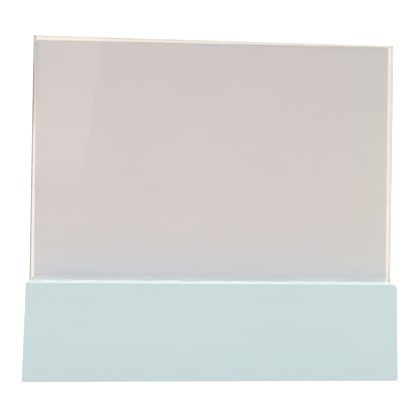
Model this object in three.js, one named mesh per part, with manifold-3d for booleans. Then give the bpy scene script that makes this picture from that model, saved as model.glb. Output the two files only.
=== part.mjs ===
// Block photo frame: a painted wood block with a groove along its top, and a print held between two
// glass panes that stand in the groove. Millimetres, +Z up, front towards -Y.
// The origin is on the table, under the middle of the block.
import * as THREE from 'three';
import { mergeVertices } from 'three/addons/utils/BufferGeometryUtils.js';
import { RoundedBoxGeometry } from 'three/addons/geometries/RoundedBoxGeometry.js';
import Module from 'manifold-3d';

// Print: a 7 by 5 inch sheet, lying on its long side
const printWidth = 177.8;
const printHeight = 127;
const printThickness = 0.3;
const printCornerRadius = 0.8;
const printSkewDegrees = 0.45; // it sits a little turned, anticlockwise from the front
const printShift = -0.2; // its middle, from the middle of the panes

// Panes: two alike, as wide as the block
const paneThickness = 2;
const paneArris = 0.3; // ground edge, all round both faces
const sideMargin = 1.7; // clear glass beside a centred print
const topMargin = 1.55; // clear glass above the print's lower top corner

// Block
const blockDepth = 28;
const blockHeight = 47.65;
const blockEdgeRadius = 0.6;
const endFlare = 1.2; // how far each end leans out, from the block's top to its foot
const grooveDepth = 8.7;
const grooveLip = 1.2; // chamfer along both sides of the groove's mouth

// Foot pads
const padDiameter = 8;
const padThickness = 0.5;
const padRim = 0.15; // softened lower rim
const padEndInset = 12; // pad's middle from the foot of the block's end
const padFaceInset = 8.5; // pad's middle from the block's front or back

// Clearances
const paneClearance = 0.15; // groove wall to pane
const printClearance = 0.2; // print to each pane
const printSeatGap = 0.35; // print's lowest corner to the groove's floor
const cutOvershoot = 2; // how far the groove's cutter runs past the block

// How finely round edges are faceted
const edgeSegments = 4;
const padSegments = 32;
const cornerSegments = 4;

// Sizes and places that follow
const paneWidth = printWidth + 2 * sideMargin;
const paneHeight = printSeatGap + printHeight + topMargin;
const blockWidth = paneWidth;
const blockFootWidth = blockWidth + 2 * endFlare;
const grooveWidth = 2 * (paneClearance + paneThickness + printClearance) + printThickness;
const blockMiddle = padThickness + blockHeight / 2;
const blockTop = padThickness + blockHeight;
const grooveFloor = blockTop - grooveDepth;
const paneOffset = printThickness / 2 + printClearance + paneThickness / 2;

const paint = new THREE.MeshStandardMaterial({ color: 0xc9dfe0, roughness: 0.55, metalness: 0 });
const felt = new THREE.MeshStandardMaterial({ color: 0xcfccc4, roughness: 0.95, metalness: 0 });
const paper = new THREE.MeshStandardMaterial({ color: 0xd6cdcb, roughness: 0.45, metalness: 0 });
const glass = new THREE.MeshStandardMaterial({
  color: 0xe4ece6,
  roughness: 0.05,
  metalness: 0,
  transparent: true,
  opacity: 0.3,
});

const wasm = await Module();
wasm.setup();

function toSolid(geometry) {
  const bare = geometry.clone();
  bare.deleteAttribute('normal');
  bare.deleteAttribute('uv');
  const merged = mergeVertices(bare);
  const vertProperties = new Float32Array(merged.attributes.position.array);
  const triVerts = new Uint32Array(merged.index.array);
  return new wasm.Manifold(new wasm.Mesh({ numProp: 3, vertProperties, triVerts }));
}

function toGeometry(solid) {
  const mesh = solid.getMesh();
  const geometry = new THREE.BufferGeometry();
  geometry.setAttribute('position', new THREE.BufferAttribute(mesh.vertProperties, 3));
  geometry.setIndex(new THREE.BufferAttribute(mesh.triVerts, 1));
  geometry.computeVertexNormals();
  return geometry;
}

function piece(name, geometry, material) {
  const mesh = new THREE.Mesh(geometry, material);
  mesh.name = name;
  return mesh;
}

// Groove: its section, with its mouth flared past the chamfers, run along the block and out of both ends
function grooveCutter() {
  const half = grooveWidth / 2;
  const mouth = half + grooveLip + cutOvershoot;
  const section = new THREE.Shape();
  section.moveTo(-half, grooveFloor);
  section.lineTo(half, grooveFloor);
  section.lineTo(half, blockTop - grooveLip);
  section.lineTo(mouth, blockTop + cutOvershoot);
  section.lineTo(-mouth, blockTop + cutOvershoot);
  section.lineTo(-half, blockTop - grooveLip);
  section.closePath();
  const length = blockFootWidth + 2 * cutOvershoot;
  const cutter = new THREE.ExtrudeGeometry(section, { depth: length, bevelEnabled: false });
  const across = new THREE.Vector3(0, 1, 0);
  const up = new THREE.Vector3(0, 0, 1);
  const along = new THREE.Vector3(1, 0, 0);
  cutter.translate(0, 0, -length / 2);
  return cutter.applyMatrix4(new THREE.Matrix4().makeBasis(across, up, along));
}

// Widen a block towards its foot, evenly with the height below its top
function leanEndsOut(geometry) {
  const position = geometry.attributes.position;
  for (let i = 0; i < position.count; i += 1) {
    const below = (blockTop - position.getZ(i)) / blockHeight;
    const width = THREE.MathUtils.lerp(blockWidth, blockFootWidth, below);
    position.setX(i, (position.getX(i) * width) / blockWidth);
  }
}

// Block: a box with every outer edge eased and its ends leaning out, then grooved
function baseBlock() {
  const box = new RoundedBoxGeometry(blockWidth, blockDepth, blockHeight, edgeSegments, blockEdgeRadius);
  box.translate(0, 0, blockMiddle);
  leanEndsOut(box);
  const grooved = toSolid(box).subtract(toSolid(grooveCutter()));
  return piece('base_block', toGeometry(grooved), paint);
}

// An upright sheet: an outline in X and Z, centred on the origin, with its thickness along Y
function uprightSheet(outline, thickness, options) {
  const sheet = new THREE.ExtrudeGeometry(outline, { depth: thickness, ...options });
  sheet.translate(0, 0, -thickness / 2);
  return sheet.rotateX(Math.PI / 2);
}

function roundedOutline(width, height, radius) {
  const x = width / 2;
  const y = height / 2;
  const outline = new THREE.Shape();
  outline.moveTo(-x + radius, -y);
  outline.lineTo(x - radius, -y);
  outline.absarc(x - radius, -y + radius, radius, -Math.PI / 2, 0);
  outline.lineTo(x, y - radius);
  outline.absarc(x - radius, y - radius, radius, 0, Math.PI / 2);
  outline.lineTo(-x + radius, y);
  outline.absarc(-x + radius, y - radius, radius, Math.PI / 2, Math.PI);
  outline.lineTo(-x, -y + radius);
  outline.absarc(-x + radius, -y + radius, radius, Math.PI, 1.5 * Math.PI);
  return outline;
}

// Pane: a plate whose edges are ground to a flat band with an arris on each side
function pane(name, side) {
  const x = paneWidth / 2 - paneArris;
  const y = paneHeight / 2 - paneArris;
  const corners = [[-x, -y], [x, -y], [x, y], [-x, y]];
  const outline = new THREE.Shape(corners.map(([px, py]) => new THREE.Vector2(px, py)));
  const ground = { bevelThickness: paneArris, bevelSize: paneArris, bevelSegments: 1 };
  const plate = piece(name, uprightSheet(outline, paneThickness - 2 * paneArris, ground), glass);
  plate.position.set(0, side * paneOffset, grooveFloor + paneHeight / 2);
  return plate;
}

// Print: it leans on its lower left corner, so that its right side stands a little higher
function photoPrint() {
  const skew = THREE.MathUtils.degToRad(printSkewDegrees);
  const drop = (printWidth * Math.sin(skew) + printHeight * Math.cos(skew)) / 2;
  const outline = roundedOutline(printWidth, printHeight, printCornerRadius);
  const sheet = uprightSheet(outline, printThickness, { bevelEnabled: false, curveSegments: cornerSegments });
  const turned = new THREE.Group();
  turned.position.set(printShift, 0, grooveFloor + printSeatGap + drop);
  turned.rotation.y = -skew;
  turned.add(piece('photo_print', sheet, paper));
  return turned;
}

// Foot pad: a felt disc stuck under the block, with a softened lower rim
function footPad(name, sideX, sideY) {
  const radius = padDiameter / 2;
  const profile = [
    [0, 0],
    [radius - padRim, 0],
    [radius, padRim],
    [radius, padThickness],
    [0, padThickness],
  ].map(([r, z]) => new THREE.Vector2(r, z));
  const disc = new THREE.LatheGeometry(profile, padSegments).rotateX(Math.PI / 2);
  const pad = piece(name, disc, felt);
  pad.position.x = sideX * (blockFootWidth / 2 - padEndInset);
  pad.position.y = sideY * (blockDepth / 2 - padFaceInset);
  return pad;
}

const frame = new THREE.Group();
frame.name = 'block_photo_frame';
frame.add(baseBlock());
frame.add(pane('front_pane', -1));
frame.add(pane('rear_pane', 1));
frame.add(photoPrint());
for (const [depthName, sideY] of [['front', -1], ['rear', 1]]) {
  for (const [endName, sideX] of [['left', -1], ['right', 1]]) {
    frame.add(footPad(`foot_pad_${depthName}_${endName}`, sideX, sideY));
  }
}

export default frame;
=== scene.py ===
# Block photo frame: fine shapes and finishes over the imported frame. Metres, +Z up, front towards -Y.
import math

import bmesh
import bpy
from mathutils import Matrix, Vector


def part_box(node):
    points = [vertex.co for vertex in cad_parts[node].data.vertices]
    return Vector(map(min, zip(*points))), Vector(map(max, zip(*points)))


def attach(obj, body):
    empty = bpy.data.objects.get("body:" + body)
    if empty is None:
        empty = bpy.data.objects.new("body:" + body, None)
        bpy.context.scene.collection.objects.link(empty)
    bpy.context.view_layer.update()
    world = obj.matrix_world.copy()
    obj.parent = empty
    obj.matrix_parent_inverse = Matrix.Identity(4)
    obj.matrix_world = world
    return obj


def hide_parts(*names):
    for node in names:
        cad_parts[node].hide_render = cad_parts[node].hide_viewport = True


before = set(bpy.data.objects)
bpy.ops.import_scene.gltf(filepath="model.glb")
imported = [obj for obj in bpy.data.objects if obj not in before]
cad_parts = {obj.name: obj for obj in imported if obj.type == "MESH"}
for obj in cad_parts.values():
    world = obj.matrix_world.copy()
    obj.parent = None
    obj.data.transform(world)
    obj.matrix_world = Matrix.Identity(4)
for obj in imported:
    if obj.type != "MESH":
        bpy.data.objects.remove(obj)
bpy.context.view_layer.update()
scene = bpy.context.scene


# small helpers for node trees

noiseSpan = (0.3, 0.7)  # most values of a noise texture lie between these


def addNode(tree, kind, inputs=None, **properties):
    node = tree.nodes.new(kind)
    for name, value in properties.items():
        setattr(node, name, value)
    for key, value in (inputs or {}).items():
        setInput(tree, node.inputs[key], value)
    return node


def setInput(tree, socket, value):
    if isinstance(value, bpy.types.NodeSocket):
        tree.links.new(value, socket)
    elif isinstance(value, tuple) and len(value) == 3 and socket.type == "RGBA":
        socket.default_value = (*value, 1.0)
    else:
        socket.default_value = value


def newMaterial(name, constants=None):
    material = bpy.data.materials.new(name)
    material.use_nodes = True
    tree = material.node_tree
    tree.nodes.clear()
    shader = addNode(tree, "ShaderNodeBsdfPrincipled", constants)
    addNode(tree, "ShaderNodeOutputMaterial", {"Surface": shader.outputs["BSDF"]})
    return material, tree, shader


def objectCoords(tree, stretch=(1, 1, 1)):
    place = addNode(tree, "ShaderNodeTexCoord").outputs["Object"]
    return addNode(tree, "ShaderNodeMapping", {"Vector": place, "Scale": stretch}).outputs["Vector"]


def alongAxis(tree, axis):
    return addNode(tree, "ShaderNodeSeparateXYZ", {"Vector": objectCoords(tree)}).outputs[axis]


def noise(tree, scale, detail=2.0, roughness=0.5, stretch=(1, 1, 1)):
    coords = objectCoords(tree, stretch)
    wanted = {"Vector": coords, "Scale": scale, "Detail": detail, "Roughness": roughness}
    return addNode(tree, "ShaderNodeTexNoise", wanted).outputs["Fac"]


def remap(tree, value, low, high, toLow=0.0, toHigh=1.0):
    wanted = {"Value": value, "From Min": low, "From Max": high, "To Min": toLow, "To Max": toHigh}
    return addNode(tree, "ShaderNodeMapRange", wanted, interpolation_type="SMOOTHSTEP").outputs["Result"]


def maths(tree, operation, *values):
    return addNode(tree, "ShaderNodeMath", dict(enumerate(values)), operation=operation).outputs["Value"]


def product(tree, value, *others):
    for other in others:
        value = maths(tree, "MULTIPLY", value, other)
    return value


def mixColour(tree, share, a, b, blend="MIX"):
    node = addNode(tree, "ShaderNodeMix", data_type="RGBA", blend_type=blend)
    for socket, value in ((node.inputs[0], share), (node.inputs[6], a), (node.inputs[7], b)):
        setInput(tree, socket, value)
    return node.outputs[2]


def scaled(tree, vector, factor):
    wanted = {0: vector, "Scale": factor}
    return addNode(tree, "ShaderNodeVectorMath", wanted, operation="SCALE").outputs["Vector"]


def shaded(colour, share):
    return tuple(channel * share for channel in colour)


def bump(tree, height, distance, strength):
    wanted = {"Height": height, "Distance": distance, "Strength": strength}
    return addNode(tree, "ShaderNodeBump", wanted).outputs["Normal"]


# small helpers for objects and meshes

def addObject(name, data):
    added = bpy.data.objects.new(name, data)
    scene.collection.objects.link(added)
    return added


def meshFromShape(name, shape):
    mesh = bpy.data.meshes.new(name)
    shape.to_mesh(mesh)
    shape.free()
    return mesh


def bridgeRings(shape, rings):
    # quads between neighbouring rings of points, and a cap on each end
    quads = []
    for one, two in zip(rings, rings[1:]):
        for i in range(len(one)):
            k = (i + 1) % len(one)
            quads.append(shape.faces.new((one[i], one[k], two[k], two[i])))
    shape.faces.new(rings[0])
    shape.faces.new(rings[-1])
    bmesh.ops.recalc_face_normals(shape, faces=shape.faces)
    return quads


# small helpers for Geometry Nodes

def newTree(name, inputs):
    tree = bpy.data.node_groups.new(name, "GeometryNodeTree")
    for kind, labels in inputs.items():
        for label in labels:
            tree.interface.new_socket(label, in_out="INPUT", socket_type="NodeSocket" + kind)
    tree.interface.new_socket("Geometry", in_out="OUTPUT", socket_type="NodeSocketGeometry")
    return tree, tree.nodes.new("NodeGroupInput").outputs


def realized(tree, geometry):
    return addNode(tree, "GeometryNodeRealizeInstances", {"Geometry": geometry}).outputs["Geometry"]


def moved(tree, geometry, **how):
    return addNode(tree, "GeometryNodeTransform", {"Geometry": geometry, **how}).outputs["Geometry"]


def normalAlong(tree, axis):
    normal = addNode(tree, "GeometryNodeInputNormal").outputs["Normal"]
    return addNode(tree, "ShaderNodeSeparateXYZ", {"Vector": normal}).outputs[axis]


def compared(tree, a, operation, b):
    return addNode(tree, "FunctionNodeCompare", {0: a, 1: b}, operation=operation).outputs["Result"]


def finished(tree, geometry, material, where=True):
    wanted = {"Geometry": geometry, "Material": material, "Selection": where}
    return addNode(tree, "GeometryNodeSetMaterial", wanted).outputs["Geometry"]


def meshFromTree(name, tree, values, mesh=None):
    holder = addObject(name + "_nodes", mesh or bpy.data.meshes.new(name + "_seed"))
    modifier = holder.modifiers.new("shape", "NODES")
    modifier.node_group = tree
    for item in tree.interface.items_tree:
        if item.in_out == "INPUT" and item.name in values:
            modifier[item.identifier] = values[item.name]
    evaluated = holder.evaluated_get(bpy.context.evaluated_depsgraph_get())
    made = bpy.data.meshes.new_from_object(evaluated)
    holder.modifiers.remove(modifier)
    bpy.data.objects.remove(holder)
    made.name = name
    return made


# camera: stands where the photograph was taken from, a little left of the middle and above the block
cameraLook = {
    "place": (-0.028435, -0.398948, 0.093172),
    "pitch": 0.006780,  # radians, up
    "roll": -0.0157,
    "yaw": -0.080895,  # to the right
    "lens": 68.59,  # millimetres
    "sensor": 36.0,
    "shift": (-0.03371, -0.05489),  # the photograph is cropped off the lens's middle
    "nearest": 0.01,  # how close it sees
}


def makeCamera(look):
    camera = addObject("camera", bpy.data.cameras.new("camera"))
    camera.data.lens = look["lens"]
    camera.data.sensor_width = look["sensor"]
    camera.data.shift_x, camera.data.shift_y = look["shift"]
    camera.data.clip_start = look["nearest"]
    turn = Matrix.Rotation(look["yaw"], 4, "Z") @ Matrix.Rotation(look["pitch"], 4, "X")
    turn = turn @ Matrix.Rotation(look["roll"], 4, "Y") @ Matrix.Rotation(math.pi / 2, 4, "X")
    camera.matrix_world = Matrix.Translation(look["place"]) @ turn
    scene.camera = camera


makeCamera(cameraLook)
print("camera set")


# stage: a pale table that glows a little, a room that is cream behind, and one soft light overhead
stageLook = {
    "floorRadius": 60.0,
    "floorSides": 96,
    "floorColour": (0.46, 0.456, 0.448),
    "floorMottle": (3.0, 0.985),  # scale of its faint patches, and how dark they are
    "floorRoughness": 0.9,
    "floorShine": 0.1,
    "floorGlow": 0.55,
    "nearTint": (1.0, 1.0, 1.0),  # of that glow round the frame
    "farTint": (0.89, 0.78, 0.71),  # far behind, where the floor meets the cream wall
    "farFloor": (0.20, 0.40),  # metres behind the frame
    "frontTint": (0.78, 0.78, 0.78),  # far in front, where the floor meets the room
    "frontFloor": (-1.5, -12.0),
    "roomBehind": (1.18, 1.09, 1.01),
    "roomInFront": (1.10, 1.10, 1.10),  # at the height of the table
    "roomAbove": (0.54, 0.54, 0.54),
    "roomRise": (0.0, 0.5),  # how far up a direction points where the room darkens
    "roomTurn": (-0.3, 0.3),  # how far back it points where the room turns cream
    "brightPatch": 0.36,  # added to the room in front, a little to the left
    "patchEdge": (-0.094, 0.116, 0.0025),  # across, how far that leans with the height, and how soft it is
    "patchFade": (-0.40, -0.25),  # across, where it fades out on its far side
    "patchRise": (-0.01, 0.05),  # and low down
    "patchAhead": (0.2, 0.4),  # none of it beside or behind the frame
    "overheadPower": 2.02,  # watts a square metre
    "overheadSpread": 24.0,  # degrees across
    "overheadTilt": (18.0, 6.0),  # degrees, towards the front and the left
}


def makeFloor(look):
    shape = bmesh.new()
    bmesh.ops.create_circle(shape, cap_ends=True, radius=look["floorRadius"], segments=look["floorSides"])
    mesh = meshFromShape("floor", shape)
    constants = {"Roughness": look["floorRoughness"], "Specular IOR Level": look["floorShine"],
                 "Emission Strength": look["floorGlow"]}
    material, tree, shader = newMaterial("paleFloor", constants)
    back = alongAxis(tree, "Y")
    glow = mixColour(tree, remap(tree, back, *look["farFloor"]), look["nearTint"], look["farTint"])
    glow = mixColour(tree, remap(tree, back, *look["frontFloor"]), glow, look["frontTint"])
    setInput(tree, shader.inputs["Emission Color"], glow)
    pale = look["floorColour"]
    scale, shade = look["floorMottle"]
    mottled = mixColour(tree, noise(tree, scale), shaded(pale, shade), pale)
    setInput(tree, shader.inputs["Base Color"], mottled)
    mesh.materials.append(material)
    floor = addObject("floor", mesh)


def brightPatch(tree, direction, look):
    # a lighter stretch of wall in front, on the left, whose mirror image shows faintly in the glass
    leastAhead = 0.001  # so that nothing is divided by zero
    ahead = maths(tree, "MAXIMUM", maths(tree, "MULTIPLY", direction["Y"], -1.0), leastAhead)
    across = maths(tree, "DIVIDE", direction["X"], ahead)
    height = maths(tree, "DIVIDE", direction["Z"], ahead)
    edge, lean, soft = look["patchEdge"]
    offset = maths(tree, "SUBTRACT", across, maths(tree, "MULTIPLY", height, lean))
    inside = remap(tree, offset, edge - soft, edge + soft, 1.0, 0.0)
    nearSide = remap(tree, across, *look["patchFade"])
    raised = remap(tree, height, *look["patchRise"])
    inFront = remap(tree, ahead, *look["patchAhead"])
    return product(tree, inside, nearSide, raised, inFront, look["brightPatch"])


def makeRoom(look):
    world = bpy.data.worlds.new("room")
    world.use_nodes = True
    scene.world = world
    tree = world.node_tree
    tree.nodes.clear()
    direction = addNode(tree, "ShaderNodeTexCoord").outputs["Generated"]
    parts = addNode(tree, "ShaderNodeSeparateXYZ", {"Vector": direction}).outputs
    above = remap(tree, parts["Z"], *look["roomRise"])
    inFront = mixColour(tree, above, look["roomInFront"], look["roomAbove"])
    behind = remap(tree, parts["Y"], *look["roomTurn"])
    colour = mixColour(tree, behind, inFront, look["roomBehind"])
    strength = maths(tree, "ADD", brightPatch(tree, parts, look), 1.0)
    glow = addNode(tree, "ShaderNodeBackground", {"Color": colour, "Strength": strength})
    addNode(tree, "ShaderNodeOutputWorld", {"Surface": glow.outputs["Background"]})


def makeOverhead(look):
    overhead = addObject("overhead", bpy.data.lights.new("overhead", "SUN"))
    overhead.data.energy = look["overheadPower"]
    overhead.data.angle = math.radians(look["overheadSpread"])
    forward, left = look["overheadTilt"]
    overhead.rotation_euler = (math.radians(forward), -math.radians(left), 0)


makeFloor(stageLook)
makeRoom(stageLook)
makeOverhead(stageLook)
scene.view_settings.view_transform = "Standard"
scene.cycles.blur_glossy = 0.0  # keep the light that reaches the sheet through the glass
print("stage set")


# block: one section swept from end to end, drawn in round each end so that every outer edge is eased
blockLook = {
    "endFlare": 0.0012,  # how far each end leans out, from the top to the foot
    "faceRadius": 0.0005,  # long edges of the top
    "sideRadius": 0.0004,  # upright edges
    "footRadius": 0.0003,  # edges round the foot
    "leftTopRadius": 0.0004,  # upper edge of the left end
    "rightTopRadius": 0.0027,  # upper edge of the right end, sanded rounder
    "shoulder": 0.0004,  # upright edges are at their own radius from here down, below an end's rounding
    "lipRadius": 0.0014,  # along both sides of the groove's mouth
    "grooveEase": 0.0003,  # where the groove runs out of the ends
    "leastRadius": 0.1,  # share of a radius that is left where an end is drawn in past it
    "paneClearance": 0.00015,
    "arcSteps": 6,
    "sharpAngle": 40.0,  # degrees, where the shading breaks
    "colour": (0.500, 0.600, 0.609),
    "coolPatch": (0.494, 0.598, 0.613),
    "patchScale": 24.0,
    "patchSpread": (0.42, 0.66),
    "grainStretch": (14, 420, 420),  # wood grain along the block
    "grainSpread": (0.25, 0.75),
    "grainShade": 0.985,
    "rubbedAndHighlitEdge": (0.60, 0.70, 0.708),  # where the edges are rubbed, and a painted highlight along the top's long edges
    "topWearAndHighlight": 1.0,  # along the long edges of the top, rubbed and with a painted highlight
    "edgeWear": 0.2,  # along the others
    "rubScale": 160.0,
    "rubShare": (0.7, 1.0),
    "primer": (0.90, 0.91, 0.91),  # bare inside the groove
    "primerDepth": 0.00015,  # how far over the groove's lips the paint runs
    "paintedFootShade": (0.030, 0.985),  # painted shade: slightly darker below this height, and by how much
    "paintedTopLight": (0.0004, 1.060),  # painted light: how far down from the top the paint is paler, and how much paler it is there
    "roughness": (0.46, 0.58),
    "glossScale": 70.0,
    "peelScale": 1500.0,  # orange peel, about two thirds of a millimetre
    "grainRelief": 0.5,  # as a share of the orange peel's
    "relief": (0.00003, 0.5),  # depth and strength of both together
}


def paintMaterial(name, look, topZ, inGroove):
    material, tree, shader = newMaterial(name)
    patches = remap(tree, noise(tree, look["patchScale"]), *look["patchSpread"])
    colour = mixColour(tree, patches, look["colour"], look["coolPatch"])
    grain = noise(tree, 1.0, detail=4.0, roughness=0.6, stretch=look["grainStretch"])
    streak = remap(tree, grain, *look["grainSpread"], look["grainShade"], 1.0)
    height = alongAxis(tree, "Z")
    # painted shade: the paint is a little darker towards the foot
    shadeTop, shade = look["paintedFootShade"]
    low = remap(tree, height, 0.0, shadeTop, shade, 1.0)
    # painted light: the top is paler, as if lit from overhead
    litDepth, litPaleness = look["paintedTopLight"]
    topLitShare = remap(tree, height, topZ - litDepth, topZ, 1.0, litPaleness)
    streaked = scaled(tree, colour, product(tree, streak, low, topLitShare))
    # paler along the edges: rubbed paint, and along the top's long edges also a painted highlight
    wornAndHighlit = addNode(tree, "ShaderNodeAttribute", attribute_name="edgeWearAndHighlight").outputs["Fac"]
    rub = remap(tree, noise(tree, look["rubScale"], detail=3.0), *noiseSpan, *look["rubShare"])
    painted = mixColour(tree, product(tree, wornAndHighlit, rub), streaked, look["rubbedAndHighlitEdge"])
    if inGroove:
        bare = remap(tree, height, topZ - look["primerDepth"], topZ, 1.0, 0.0)
        painted = mixColour(tree, bare, painted, look["primer"])
    setInput(tree, shader.inputs["Base Color"], painted)
    gloss = noise(tree, look["glossScale"], detail=3.0)
    setInput(tree, shader.inputs["Roughness"], remap(tree, gloss, *noiseSpan, *look["roughness"]))
    peel = noise(tree, look["peelScale"], detail=1.5)
    relief = maths(tree, "MULTIPLY_ADD", grain, look["grainRelief"], peel)
    setInput(tree, shader.inputs["Normal"], bump(tree, relief, *look["relief"]))
    return material


def blockSection(look, drawn, shoulderZ, sizes):
    # points of the section, drawn in from its own faces: (y, z, which edge, how far round the arc)
    points = []
    steps = look["arcSteps"]

    def corner(flatY, flatZ, sideY, sideZ, radius, firstAngle, edge, inY, inZ):
        small = max(radius - max(inY, inZ), radius * look["leastRadius"])
        middleY = flatY - sideY * (inY + small)
        middleZ = flatZ - sideZ * (inZ + small)
        for step in range(steps + 1):
            share = step / steps
            angle = math.radians(firstAngle + 90 * share)
            y = middleY + small * math.cos(angle)
            z = middleZ + small * math.sin(angle)
            points.append((y, z, edge, share))

    front, back, foot, top, wall, floorZ = sizes
    face, low, lip = look["faceRadius"], look["footRadius"], look["lipRadius"]
    inTop, inSide, inFoot, inGroove = (drawn[edge] for edge in ("top", "side", "foot", "groove"))
    corner(back, foot, 1, -1, low, -90, "foot", inFoot, inFoot)
    points.append((back - inSide, shoulderZ, "side", 0))
    corner(back, top, 1, 1, face, 0, "top", inSide, inTop)
    corner(wall, top, -1, 1, lip, 90, "lip", inGroove, inTop)
    points.append((wall + inGroove, floorZ - inGroove, "groove", 0))
    points.append((-wall - inGroove, floorZ - inGroove, "groove", 0))
    corner(-wall, top, 1, 1, lip, 0, "lip", inGroove, inTop)
    corner(front, top, -1, 1, face, 90, "top", inSide, inTop)
    points.append((front + inSide, shoulderZ, "side", 0))
    corner(front, foot, -1, -1, low, 180, "foot", inFoot, inFoot)
    return points


def midArc(share):
    return 4 * share * (1 - share)  # full in the middle of an arc, none at its ends


def makeBlock(look):
    low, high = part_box("base_block")
    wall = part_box("rear_pane")[1].y + look["paneClearance"]
    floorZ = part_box("rear_pane")[0].z
    sizes = (low.y, high.y, low.z, high.z, wall, floorZ)
    halfTop = high.x - look["endFlare"]
    shape = bmesh.new()
    ease = shape.verts.layers.float.new("edgeWearAndHighlight")
    rings = []
    steps = look["arcSteps"]
    stations = [(-1, step) for step in range(steps, -1, -1)] + [(1, step) for step in range(steps + 1)]
    for end, step in stations:
        bend = math.radians(90 * step / steps)
        topRadius = look["rightTopRadius"] if end > 0 else look["leftTopRadius"]
        radii = {"top": topRadius, "lip": topRadius, "side": look["sideRadius"], "foot": look["footRadius"],
                 "groove": look["grooveEase"]}
        drawn = {edge: radius * (1 - math.cos(bend)) for edge, radius in radii.items()}
        shoulderZ = high.z - topRadius - look["faceRadius"] - look["shoulder"]
        ring = []
        section = blockSection(look, drawn, shoulderZ, sizes)
        for y, z, edge, share in section:
            lean = look["endFlare"] * (high.z - z) / (high.z - low.z)
            x = end * (halfTop + lean - radii[edge] * (1 - math.sin(bend)))
            vertex = shape.verts.new((x, y, z))
            # the top's long edges carry a painted highlight as well as their wear
            wearAndHighlight = look["topWearAndHighlight"] if edge == "top" else look["edgeWear"]
            endShare = step / steps if edge in ("top", "lip") else 0
            vertex[ease] = max(wearAndHighlight * midArc(share), look["edgeWear"] * midArc(endShare))
            ring.append(vertex)
        rings.append(ring)
    inGroove = [edge in ("lip", "groove") for y, z, edge, share in section]
    for i, quad in enumerate(bridgeRings(shape, rings)):
        quad.material_index = int(inGroove[i % len(inGroove)] and inGroove[(i + 1) % len(inGroove)])
    mesh = meshFromShape("painted_block", shape)
    mesh.materials.append(paintMaterial("satinPaint", look, high.z, False))
    mesh.materials.append(paintMaterial("primedGroove", look, high.z, True))
    mesh.shade_smooth()
    mesh.set_sharp_from_angle(angle=math.radians(look["sharpAngle"]))
    block = addObject("painted_block", mesh)
    even = block.modifiers.new("evenNormals", "WEIGHTED_NORMAL")
    even.keep_sharp = True
    evaluated = block.evaluated_get(bpy.context.evaluated_depsgraph_get())
    evened = bpy.data.meshes.new_from_object(evaluated)
    block.modifiers.clear()
    block.data = evened
    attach(block, "base")
    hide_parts("base_block")


makeBlock(blockLook)
print("block made")


# panes: a clear plate with ground edges and an arris all round, the same for both
paneLook = {
    "arris": 0.0003,
    "ior": 1.5,
    "tint": (0.91, 0.908, 0.90),
    "rearTint": (0.835, 0.831, 0.823),  # dustier than the front
    "film": (9.0, 0.99),  # scale of the faint film on the faces, and how dark it is
    "filmSpread": (0.4, 0.7),
    "wipeScale": 45.0,  # faint marks of wiping
    "wipeStretch": (1, 1, 0.35),
    "wipeSpread": (0.55, 0.8),
    "wipeRoughness": (0.0, 0.03),
    "paintedShadeTint": (0.64, 0.64, 0.625),  # painted shade along the front pane's left margin, towards the top
    "paintedShadeReach": (0.0010, 0.0014),  # from the left end
    "paintedShadeHeight": (0.116, 0.136),
    "edgeTint": (0.89, 0.872, 0.815),
    "edgeClearness": 0.65,
    "edgeShine": 0.5,
    "edgeRoughness": (0.2, 0.4),
    "shadedLeftEdgeTint": (0.47, 0.525, 0.445),  # painted shade: this side is darker and duller than the other edges
    "shadedLeftEdgeClearness": 0.1,
    "shadedLeftEdgeShine": 0.0,
    "shadeEndHeight": (0.1535, 0.1575),  # above this the painted shade gives way to the plain edge
    "scratchStretch": (2000, 9000, 2000),  # grinding marks along the edges
    "scratchShade": 0.88,  # of the tint, in those marks
    "scratchRelief": (0.00001, 0.25),  # depth and strength
}


def clearGlassMaterial(name, tint, look, paintedShadeEnd=None):
    material, tree, shader = newMaterial(name, {"Transmission Weight": 1.0, "IOR": look["ior"]})
    scale, shade = look["film"]
    film = remap(tree, noise(tree, scale, detail=3.0), *look["filmSpread"])
    clear = mixColour(tree, film, tint, shaded(tint, shade))
    # painted shade: a darker strip along the left margin, towards the top
    if paintedShadeEnd is not None:
        full, none = (paintedShadeEnd + reach for reach in look["paintedShadeReach"])
        beside = remap(tree, alongAxis(tree, "X"), full, none, 1.0, 0.0)
        paintedShade = product(tree, beside, remap(tree, alongAxis(tree, "Z"), *look["paintedShadeHeight"]))
        clear = mixColour(tree, paintedShade, clear, look["paintedShadeTint"])
    setInput(tree, shader.inputs["Base Color"], clear)
    wipe = noise(tree, look["wipeScale"], detail=4.0, stretch=look["wipeStretch"])
    haze = remap(tree, wipe, *look["wipeSpread"], *look["wipeRoughness"])
    setInput(tree, shader.inputs["Roughness"], haze)
    return material


def groundEdgeMaterial(name, look, tint, clearness, shine, shadeEndsHigh=False):
    constants = {"IOR": look["ior"], "Transmission Weight": clearness, "Specular IOR Level": shine}
    material, tree, shader = newMaterial(name, constants)
    # painted shade on the left edge, which gives way to the plain edge near the top
    if shadeEndsHigh:
        unshaded = remap(tree, alongAxis(tree, "Z"), *look["shadeEndHeight"])
        tint = mixColour(tree, unshaded, tint, look["edgeTint"])
        clearer = remap(tree, unshaded, 0.0, 1.0, clearness, look["edgeClearness"])
        setInput(tree, shader.inputs["Transmission Weight"], clearer)
    scratch = noise(tree, 1.0, detail=3.0, stretch=look["scratchStretch"])
    dulled = scaled(tree, tint, remap(tree, scratch, *noiseSpan, look["scratchShade"], 1.0))
    setInput(tree, shader.inputs["Base Color"], dulled)
    setInput(tree, shader.inputs["Roughness"], remap(tree, scratch, *noiseSpan, *look["edgeRoughness"]))
    setInput(tree, shader.inputs["Normal"], bump(tree, scratch, *look["scratchRelief"]))
    return material


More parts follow.
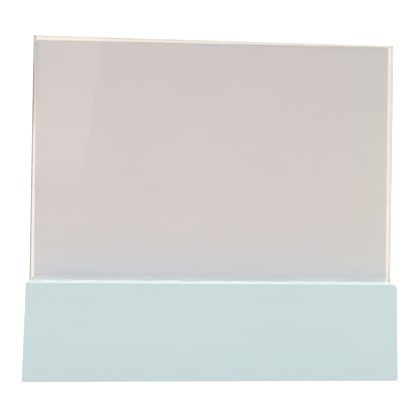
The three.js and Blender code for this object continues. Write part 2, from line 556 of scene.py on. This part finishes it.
def paneTree():
    tree, given = newTree("groundPane", {
        "Vector": ["Size", "Centre"],
        "Float": ["Arris"],
        "Material": ["Face", "Edge", "Left Edge"],
    })
    join = addNode(tree, "GeometryNodeJoinGeometry")
    for kept in ((0, 1, 1), (1, 0, 1), (1, 1, 0)):  # three boxes whose hull is the plate with its arrises
        inset = scaled(tree, tuple(-2.0 * (1 - k) for k in kept), given["Arris"])
        size = addNode(tree, "ShaderNodeVectorMath", {0: given["Size"], 1: inset}, operation="ADD")
        box = addNode(tree, "GeometryNodeMeshCube", {"Size": size.outputs["Vector"]})
        tree.links.new(box.outputs["Mesh"], join.inputs["Geometry"])
    hull = addNode(tree, "GeometryNodeConvexHull", {"Geometry": join.outputs["Geometry"]})
    plate = moved(tree, hull.outputs["Convex Hull"], Translation=given["Centre"])
    plate = finished(tree, realized(tree, plate), given["Edge"])
    leftwards, squareOn = -0.3, 0.99  # how far a left edge's and a face's normals point to their sides
    isLeft = compared(tree, normalAlong(tree, "X"), "LESS_THAN", leftwards)
    plate = finished(tree, plate, given["Left Edge"], isLeft)
    isFace = compared(tree, maths(tree, "ABSOLUTE", normalAlong(tree, "Y")), "GREATER_THAN", squareOn)
    plate = finished(tree, plate, given["Face"], isFace)
    addNode(tree, "NodeGroupOutput", {"Geometry": plate})
    return tree


def makePanes(look):
    tree = paneTree()
    edge = groundEdgeMaterial("groundEdge", look, look["edgeTint"], look["edgeClearness"], look["edgeShine"])
    leftEdge = groundEdgeMaterial("shadedLeftGroundEdge", look, look["shadedLeftEdgeTint"],
                                  look["shadedLeftEdgeClearness"], look["shadedLeftEdgeShine"], shadeEndsHigh=True)
    for node, name, tint in (("front_pane", "glass_pane_front", look["tint"]),
                             ("rear_pane", "glass_pane_rear", look["rearTint"])):
        low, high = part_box(node)
        paintedShadeEnd = low.x if node == "front_pane" else None
        values = {
            "Size": high - low,
            "Centre": (low + high) / 2,
            "Arris": look["arris"],
            "Face": clearGlassMaterial(name + "_clear", tint, look, paintedShadeEnd),
            "Edge": edge,
            "Left Edge": leftEdge,
        }
        pane = addObject(name, meshFromTree(name, tree, values))
        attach(pane, node)
        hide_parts(node)


makePanes(paneLook)
print("panes made")


# print: a blank sheet of photo paper with clipped corners, a little turned between the panes
printLook = {
    "width": 0.1778,
    "height": 0.127,
    "cornerRadius": 0.0008,
    "cornerSteps": 6,
    "footTrim": 0.00045,  # cut off the foot's right corner, running out at the top
    "leftTrim": 0.0005,  # cut off the top, on the left
    "rightTrim": 0.00025,  # and on the right
    "skew": 0.45,  # degrees, anticlockwise from the front
    "colour": (0.697, 0.645, 0.646),
    "warmPatch": (0.707, 0.648, 0.641),
    "topColour": (0.673, 0.624, 0.623),  # painted shade, a little darker towards the top
    "topBand": (0.122, 0.055),  # heights above the block
    "lowColour": (0.694, 0.660, 0.670),  # painted cool light thrown up from the aqua block, over the lower third
    "lowBand": (0.0075, 0.0420),
    "footColour": (0.712, 0.713, 0.745),  # painted light where the sheet nears the block: paler against the shade there, and cooler still from the aqua block
    "footBand": (0.0005, 0.0200),
    "rimColour": (0.95, 0.96, 0.98),  # painted light, palest at the mouth of the groove, against the groove's shade
    "rimBand": (0.0002, 0.0019),
    "sideTint": (0.985, 1.012, 0.987),  # a little greener towards the right
    "sideBand": (0.045, 0.090),  # along the block
    "backColour": (0.70, 0.69, 0.67),
    "backShade": 0.97,  # in its patches
    "coreColour": (0.80, 0.79, 0.76),  # along its cut edges
    "coreShade": 0.94,
    "patchScale": 30.0,
    "patchSpread": (0.35, 0.65),
    "frontRoughness": (0.34, 0.5),
    "backRoughness": (0.5, 0.7),
    "coreRoughness": (0.7, 0.85),
    "pebbleScale": 2600.0,  # lustre surface
    "pebbleRelief": (0.00002, 0.4),  # depth and strength
}


def paperMaterial(name, look, colour, other, roughness, paintedLightBands=(), side=None):
    material, tree, shader = newMaterial(name)
    patches = remap(tree, noise(tree, look["patchScale"], detail=3.0), *look["patchSpread"])
    tone = mixColour(tree, patches, colour, other)
    # painted light and shade, in bands up the sheet
    for paintedLightColour, start, end in paintedLightBands:
        tone = mixColour(tree, remap(tree, alongAxis(tree, "Z"), start, end, 1.0, 0.0), tone, paintedLightColour)
    if side:
        tint, (start, end) = side
        tone = mixColour(tree, remap(tree, alongAxis(tree, "X"), start, end), tone, tint, "MULTIPLY")
    setInput(tree, shader.inputs["Base Color"], tone)
    pebble = noise(tree, look["pebbleScale"], detail=1.0)
    setInput(tree, shader.inputs["Roughness"], remap(tree, pebble, *noiseSpan, *roughness))
    setInput(tree, shader.inputs["Normal"], bump(tree, pebble, *look["pebbleRelief"]))
    return material


def printTree():
    tree, given = newTree("photoSheet", {
        "Float": ["Width", "Height", "Thickness", "Skew", "Corner Radius",
                  "Foot Trim", "Left Trim", "Right Trim"],
        "Int": ["Corner Steps"],
        "Vector": ["Centre"],
        "Material": ["Front", "Back", "Core"],
    })
    left, right = (maths(tree, "MULTIPLY", given["Width"], side) for side in (-0.5, 0.5))
    foot, top = (maths(tree, "MULTIPLY", given["Height"], side) for side in (-0.5, 0.5))
    corners = [(left, foot), (maths(tree, "SUBTRACT", right, given["Foot Trim"]), foot),
               (right, maths(tree, "SUBTRACT", top, given["Right Trim"])),
               (left, maths(tree, "SUBTRACT", top, given["Left Trim"]))]
    outline = addNode(tree, "GeometryNodeCurvePrimitiveQuadrilateral", mode="POINTS")
    for i, (x, y) in enumerate(corners):
        corner = addNode(tree, "ShaderNodeCombineXYZ", {"X": x, "Y": y}).outputs["Vector"]
        setInput(tree, outline.inputs[f"Point {i + 1}"], corner)
    clipping = {"Curve": outline.outputs["Curve"], "Radius": given["Corner Radius"],
                "Count": given["Corner Steps"]}
    clipped = addNode(tree, "GeometryNodeFilletCurve", clipping, mode="POLY")
    filled = addNode(tree, "GeometryNodeFillCurve", {"Curve": clipped.outputs["Curve"]}, mode="NGONS")
    flat = filled.outputs["Mesh"]
    raised = addNode(tree, "GeometryNodeExtrudeMesh", {"Mesh": flat, "Offset Scale": given["Thickness"]})
    under = addNode(tree, "GeometryNodeFlipFaces", {"Mesh": flat})
    join = addNode(tree, "GeometryNodeJoinGeometry", {"Geometry": raised.outputs["Mesh"]})
    tree.links.new(under.outputs["Mesh"], join.inputs["Geometry"])
    welding = {"Geometry": join.outputs["Geometry"], "Distance": 1e-6}  # only points that coincide
    closed = addNode(tree, "GeometryNodeMergeByDistance", welding)
    half = maths(tree, "MULTIPLY", given["Thickness"], -0.5)
    back = addNode(tree, "ShaderNodeCombineXYZ", {"Z": half}).outputs["Vector"]
    turn = addNode(tree, "ShaderNodeCombineXYZ", {"Y": given["Skew"]}).outputs["Vector"]
    sheet = moved(tree, closed.outputs["Geometry"], Translation=back)
    sheet = moved(tree, sheet, Rotation=(math.pi / 2, 0, 0))  # upright
    sheet = moved(tree, sheet, Rotation=turn, Translation=given["Centre"])
    sheet = finished(tree, realized(tree, sheet), given["Core"])
    across = normalAlong(tree, "Y")
    squareOn = 0.9  # how far a face's normal points to the front or the back
    sheet = finished(tree, sheet, given["Front"], compared(tree, across, "LESS_THAN", -squareOn))
    sheet = finished(tree, sheet, given["Back"], compared(tree, across, "GREATER_THAN", squareOn))
    addNode(tree, "NodeGroupOutput", {"Geometry": sheet})
    return tree


def makePrint(look):
    low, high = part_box("photo_print")
    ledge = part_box("base_block")[1].z
    paintedLightBands = []
    for band in ("top", "low", "foot", "rim"):
        start, end = look[band + "Band"]
        paintedLightBands.append((look[band + "Colour"], ledge + start, ledge + end))
    side = (look["sideTint"], look["sideBand"])
    back, core = look["backColour"], look["coreColour"]
    backPatch, corePatch = shaded(back, look["backShade"]), shaded(core, look["coreShade"])
    values = {
        "Width": look["width"],
        "Height": look["height"],
        "Thickness": high.y - low.y,
        "Foot Trim": look["footTrim"],
        "Left Trim": look["leftTrim"],
        "Right Trim": look["rightTrim"],
        "Corner Radius": look["cornerRadius"],
        "Corner Steps": look["cornerSteps"],
        "Skew": -math.radians(look["skew"]),
        "Centre": (low + high) / 2,
        "Front": paperMaterial("lustrePaper", look, look["colour"], look["warmPatch"],
                               look["frontRoughness"], paintedLightBands, side),
        "Back": paperMaterial("paperBack", look, back, backPatch, look["backRoughness"]),
        "Core": paperMaterial("paperCore", look, core, corePatch, look["coreRoughness"]),
    }
    sheet = addObject("print_sheet", meshFromTree("print_sheet", printTree(), values))
    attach(sheet, "print")
    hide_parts("photo_print")


makePrint(printLook)
print("print made")


# foot pads: felt discs with loose fibres all over, pressed flat above and underneath
padLook = {
    "rimInset": 0.00025,  # the cut disc, inside the reach of its fibres
    "softRim": 0.00015,
    "rimKnee": 0.3,  # share of that rim, from its side and from its foot, where it bends
    "sides": 48,
    "fibreDensity": 9.0e6,  # on a square metre
    "fibreLength": 0.0008,
    "fibreRadius": 0.00002,
    "fibreSides": 3,
    "fibreSize": (0.4, 1.0),  # shortest and longest, as shares of that length
    "fibreLean": 1.35,  # radians either way
    "fibreTurn": 6.28,
    "seed": 11,
    "colour": (0.66, 0.65, 0.61),
    "paleFibre": (0.76, 0.75, 0.71),
    "tangleScale": 1400.0,
    "tangleSpread": (0.35, 0.7),
    "tangleRelief": (0.00015, 0.8),  # depth and strength
    "roughness": (0.85, 1.0),
    "sheen": 0.4,
}


def feltMaterial(look):
    material, tree, shader = newMaterial("paleFelt", {"Sheen Weight": look["sheen"]})
    tangle = noise(tree, look["tangleScale"], detail=4.0, roughness=0.65)
    colour = mixColour(tree, remap(tree, tangle, *look["tangleSpread"]), look["colour"], look["paleFibre"])
    setInput(tree, shader.inputs["Base Color"], colour)
    setInput(tree, shader.inputs["Roughness"], remap(tree, tangle, *noiseSpan, *look["roughness"]))
    setInput(tree, shader.inputs["Normal"], bump(tree, tangle, *look["tangleRelief"]))
    return material


def fibreTree(look):
    tree, given = newTree("feltFibres", {
        "Geometry": ["Geometry"],
        "Float": ["Density", "Length", "Radius", "Foot", "Top"],
        "Int": ["Seed"],
        "Material": ["Felt"],
    })
    seed = given["Seed"]
    spread = {"Mesh": given["Geometry"], "Density": given["Density"], "Seed": seed}
    points = addNode(tree, "GeometryNodeDistributePointsOnFaces", spread)
    cone = {"Vertices": look["fibreSides"], "Radius Top": 0.0, "Radius Bottom": given["Radius"],
            "Depth": given["Length"]}
    fibre = addNode(tree, "GeometryNodeMeshCone", cone, fill_type="NGON")
    most, turn = look["fibreLean"], look["fibreTurn"]
    leaning = {"Min": (-most, -most, 0.0), "Max": (most, most, turn), "Seed": seed}
    lean = addNode(tree, "FunctionNodeRandomValue", leaning, data_type="FLOAT_VECTOR").outputs["Value"]
    turning = {"Rotation": points.outputs["Rotation"], "Rotate By": lean}
    leant = addNode(tree, "FunctionNodeRotateEuler", turning, rotation_type="EULER", space="LOCAL")
    shortest, longest = look["fibreSize"]
    size = addNode(tree, "FunctionNodeRandomValue", {2: shortest, 3: longest, "Seed": seed}).outputs[1]
    planting = {"Points": points.outputs["Points"], "Instance": fibre.outputs["Mesh"],
                "Rotation": leant.outputs["Rotation"], "Scale": size}
    fibres = addNode(tree, "GeometryNodeInstanceOnPoints", planting)
    join = addNode(tree, "GeometryNodeJoinGeometry", {"Geometry": given["Geometry"]})
    tree.links.new(fibres.outputs["Instances"], join.inputs["Geometry"])
    whole = realized(tree, join.outputs["Geometry"])
    place = addNode(tree, "GeometryNodeInputPosition").outputs["Position"]
    parts = addNode(tree, "ShaderNodeSeparateXYZ", {"Vector": place}).outputs
    limits = {"Value": parts["Z"], "Min": given["Foot"], "Max": given["Top"]}
    kept = addNode(tree, "ShaderNodeClamp", limits).outputs["Result"]
    pressed = addNode(tree, "ShaderNodeCombineXYZ", {"X": parts["X"], "Y": parts["Y"], "Z": kept})
    pressing = {"Geometry": whole, "Position": pressed.outputs["Vector"]}
    flattened = addNode(tree, "GeometryNodeSetPosition", pressing).outputs["Geometry"]
    addNode(tree, "NodeGroupOutput", {"Geometry": finished(tree, flattened, given["Felt"])})
    return tree


def padDisc(look, low, high):
    middle = (low + high) / 2
    radius = (high.x - low.x) / 2 - look["rimInset"]
    soft = look["softRim"]
    knee = look["rimKnee"] * soft
    profile = [(radius - soft, low.z), (radius - knee, low.z + knee),
               (radius, low.z + soft), (radius, high.z)]
    turns = [2 * math.pi * side / look["sides"] for side in range(look["sides"])]
    shape = bmesh.new()
    rings = []
    for ringRadius, z in profile:
        ring = []
        for turn in turns:
            x = middle.x + ringRadius * math.cos(turn)
            y = middle.y + ringRadius * math.sin(turn)
            ring.append(shape.verts.new((x, y, z)))
        rings.append(ring)
    bridgeRings(shape, rings)
    return meshFromShape("padDisc", shape)


def makePads(look):
    tree = fibreTree(look)
    felt = feltMaterial(look)
    for i, node in enumerate(sorted(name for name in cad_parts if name.startswith("foot_pad"))):
        low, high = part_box(node)
        name = node.replace("foot_pad", "felt_pad")
        values = {
            "Density": look["fibreDensity"],
            "Length": look["fibreLength"],
            "Radius": look["fibreRadius"],
            "Seed": look["seed"] + i,
            "Foot": low.z,
            "Top": high.z,
            "Felt": felt,
        }
        pad = addObject(name, meshFromTree(name, tree, values, padDisc(look, low, high)))
        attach(pad, "base")
        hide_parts(node)


makePads(padLook)
print("pads made")
